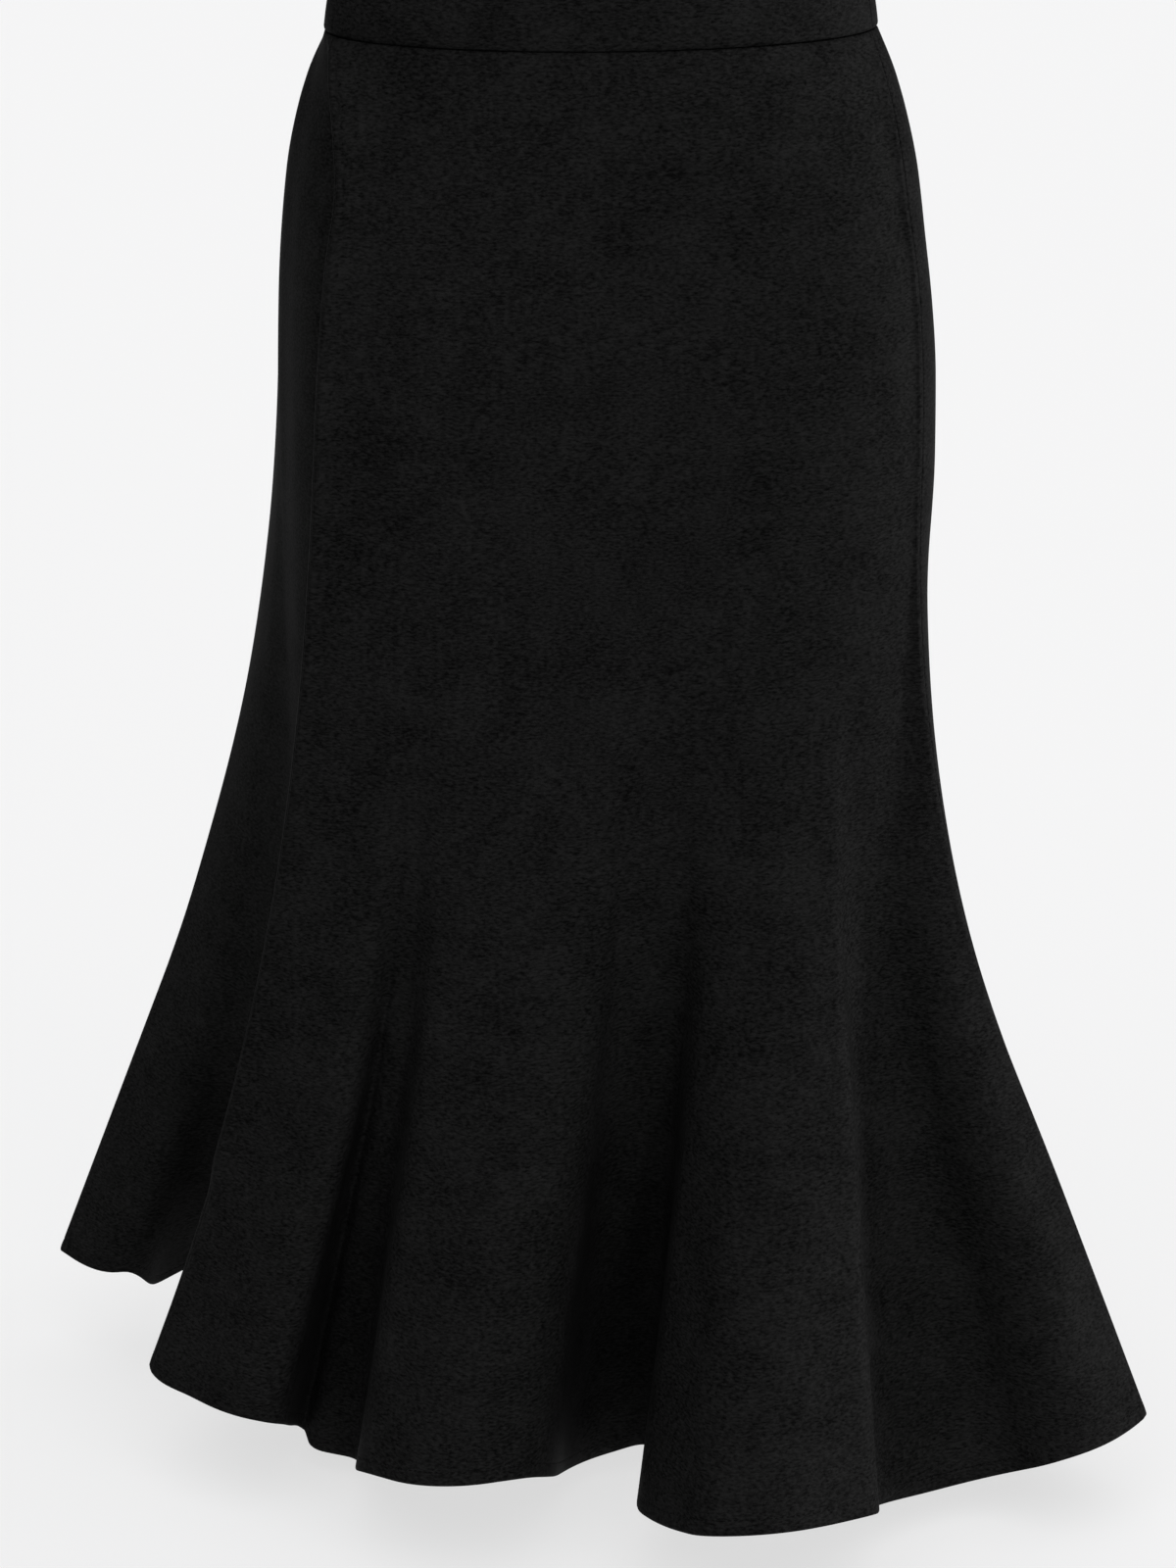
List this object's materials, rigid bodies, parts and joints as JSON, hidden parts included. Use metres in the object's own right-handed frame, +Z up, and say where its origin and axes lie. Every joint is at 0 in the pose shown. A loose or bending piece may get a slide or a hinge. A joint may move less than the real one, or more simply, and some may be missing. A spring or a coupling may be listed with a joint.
{
  "type": "fishtail skirt",
  "caption": "Midi-length black fishtail skirt in its worn shape: slim from waist to thigh, flaring into deep soft folds at the hem, with a plain waistband.",
  "frame": {"origin": "middle of the waistband's ring, half way up the band, where the wearer's waist holds the skirt", "axes": "+Z up out of the waist, +X to the wearer's left side, -Y to the wearer's front"},
  "size_m": [0.5852, 0.4834, 0.8087],
  "materials": {
    "black_crepe": "matte stretch crepe"
  },
  "bodies": {
    "root": {"front_panel": "black_crepe", "back_panel": "black_crepe", "waistband_front": "black_crepe", "waistband_back": "black_crepe"}
  },
  "joints": []
}
